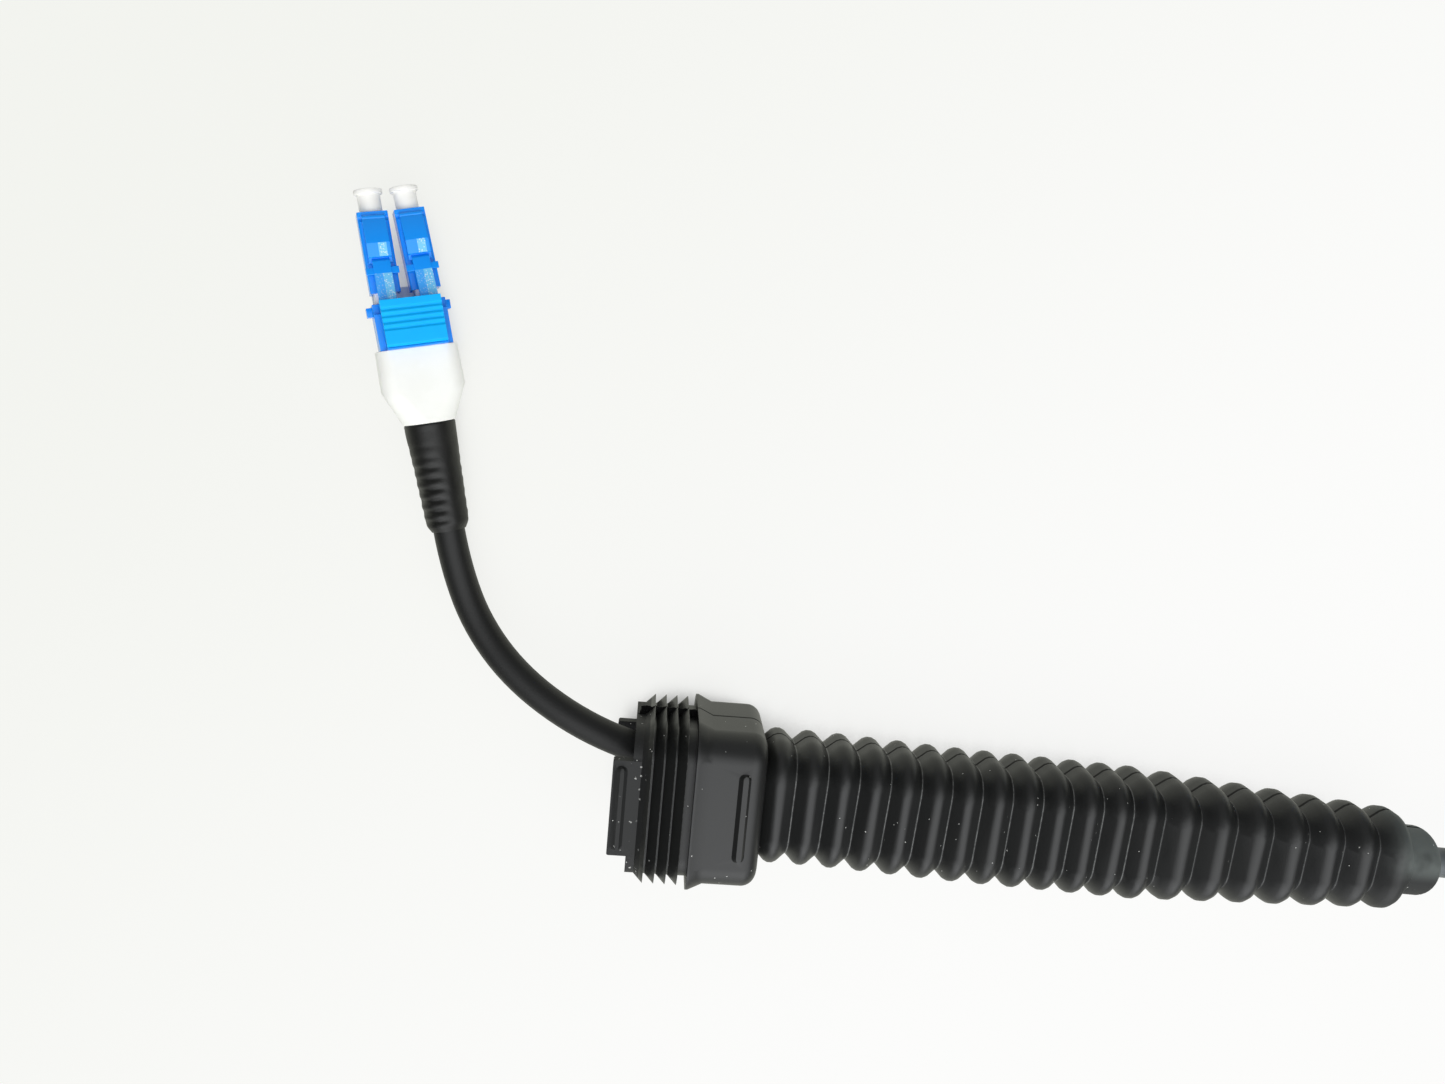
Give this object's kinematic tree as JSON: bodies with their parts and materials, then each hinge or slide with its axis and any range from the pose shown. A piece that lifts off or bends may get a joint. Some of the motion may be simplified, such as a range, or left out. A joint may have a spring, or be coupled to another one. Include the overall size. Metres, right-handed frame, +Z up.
{
  "type": "outdoor fibre patch cord",
  "caption": "Outdoor fibre-optic patch cord: duplex blue plug with dust caps, black cable and a ribbed rubber bellows boot that slides along it to seal a socket.",
  "frame": {"origin": "middle of the bounding box of the boot and the near plug, on the surface that they lie on", "axes": "+X along the boot towards its nozzle, +Y towards the near plug, +Z up"},
  "size_m": [0.3224, 0.1022, 0.0234],
  "materials": {
    "boot_rubber": "matt moulded rubber",
    "cable_jacket": "matt extruded jacket",
    "sleeve_black": "matt shrink tube",
    "relief_black": "matt moulding",
    "plug_blue": "glossy moulding",
    "trigger_blue": "glossy moulding",
    "cap_white": "satin soft moulding",
    "shell_white": "satin moulding",
    "ferrule_ceramic": "polished ceramic",
    "rear_plastic": "satin moulding",
    "spring_steel": "bright metal",
    "crimp_metal": "dull metal",
    "fibre_buffer": "satin jacket",
    "tie_black": "satin moulding"
  },
  "bodies": {
    "cord": {"plug_housing_1": "plug_blue", "plug_housing_2": "plug_blue", "ferrule_1": "ferrule_ceramic", "ferrule_2": "ferrule_ceramic", "rear_body_1": "rear_plastic", "rear_body_2": "rear_plastic", "ferrule_holder_1": "spring_steel", "ferrule_holder_2": "spring_steel", "ferrule_spring_1": "spring_steel", "ferrule_spring_2": "spring_steel", "fibre_1": "fibre_buffer", "fibre_2": "fibre_buffer", "duplex_clip": "trigger_blue", "shrink_sleeve": "sleeve_black", "back_shell_upper": "shell_white", "back_shell_lower": "shell_white", "crimp_ring": "crimp_metal", "strain_relief": "relief_black", "cable_entry": "cable_jacket", "cable_lead": "cable_jacket", "cable_core": "cable_jacket", "cable_tail": "cable_jacket", "cable_coil": "cable_jacket", "cable_end": "cable_jacket", "coil_tie_1": "tie_black", "coil_tie_2": "tie_black", "far_plug_housing_1": "plug_blue", "far_plug_housing_2": "plug_blue", "far_ferrule_1": "ferrule_ceramic", "far_ferrule_2": "ferrule_ceramic", "far_duplex_clip": "trigger_blue", "far_back_shell": "shell_white", "far_shrink_sleeve": "sleeve_black"},
    "boot": {"bellows_boot": "boot_rubber"},
    "trigger": {"thumb_trigger": "trigger_blue"},
    "latch_1": {"latch_arm_1": "plug_blue"},
    "cap_1": {"dust_cap_1": "cap_white"},
    "latch_2": {"latch_arm_2": "plug_blue"},
    "cap_2": {"dust_cap_2": "cap_white"},
    "far_trigger": {"far_thumb_trigger": "trigger_blue"},
    "far_latch_1": {"far_latch_arm_1": "plug_blue"},
    "far_cap_1": {"far_dust_cap_1": "cap_white"},
    "far_latch_2": {"far_latch_arm_2": "plug_blue"},
    "far_cap_2": {"far_dust_cap_2": "cap_white"}
  },
  "joints": [
    {"name": "boot_slide", "type": "slide", "parent": "cord", "child": "boot", "axis": [1, 0, 0], "range_m": [-0.004, 0.012]},
    {"name": "trigger_press", "type": "hinge", "parent": "cord", "child": "trigger", "pos_m": [-0.08139, 0.0281, 0.01076], "axis": [-0.9237, -0.2475, 0.2924], "range_deg": [0, 10], "stiffness_Nm_per_rad": 0.0002, "springref_deg": -8.59},
    {"name": "latch_1_flex", "type": "hinge", "parent": "cord", "child": "latch_1", "pos_m": [-0.08978, 0.04516, 0.00859], "axis": [0.9272, 0.234, -0.2923], "range_deg": [0, 4.4], "stiffness_Nm_per_rad": 0.0002, "springref_deg": -2.86},
    {"name": "cap_1_pull", "type": "slide", "parent": "cord", "child": "cap_1", "axis": [-0.2459, 0.9693, -0.0041], "range_m": [0, 0.008]},
    {"name": "latch_2_flex", "type": "hinge", "parent": "cord", "child": "latch_2", "pos_m": [-0.08473, 0.0465, 0.00699], "axis": [0.9141, 0.2811, -0.2922], "range_deg": [0, 4.4], "stiffness_Nm_per_rad": 0.0002, "springref_deg": -2.86},
    {"name": "cap_2_pull", "type": "slide", "parent": "cord", "child": "cap_2", "axis": [-0.2909, 0.9567, 0.0102], "range_m": [0, 0.008]},
    {"name": "far_trigger_press", "type": "hinge", "parent": "cord", "child": "far_trigger", "pos_m": [0.1193, 0.03246, 0.00975], "axis": [0, -1, 0], "range_deg": [0, 10], "stiffness_Nm_per_rad": 0.0002, "springref_deg": -8.59},
    {"name": "far_latch_1_flex", "type": "hinge", "parent": "cord", "child": "far_latch_1", "pos_m": [0.10065, 0.02933, 0.0066], "axis": [0, 1, 0], "range_deg": [0, 4.4], "stiffness_Nm_per_rad": 0.0002, "springref_deg": -2.86},
    {"name": "far_cap_1_pull", "type": "slide", "parent": "cord", "child": "far_cap_1", "axis": [-1, 0, 0], "range_m": [0, 0.008]},
    {"name": "far_latch_2_flex", "type": "hinge", "parent": "cord", "child": "far_latch_2", "pos_m": [0.10065, 0.03558, 0.0066], "axis": [0, 1, 0], "range_deg": [0, 4.4], "stiffness_Nm_per_rad": 0.0002, "springref_deg": -2.86},
    {"name": "far_cap_2_pull", "type": "slide", "parent": "cord", "child": "far_cap_2", "axis": [-1, 0, 0], "range_m": [0, 0.008]}
  ],
  "couplings": [
    {"joint": "latch_1_flex", "follows": "trigger_press", "ratio": 0.438},
    {"joint": "latch_2_flex", "follows": "trigger_press", "ratio": 0.438},
    {"joint": "far_latch_1_flex", "follows": "far_trigger_press", "ratio": 0.438},
    {"joint": "far_latch_2_flex", "follows": "far_trigger_press", "ratio": 0.438}
  ]
}
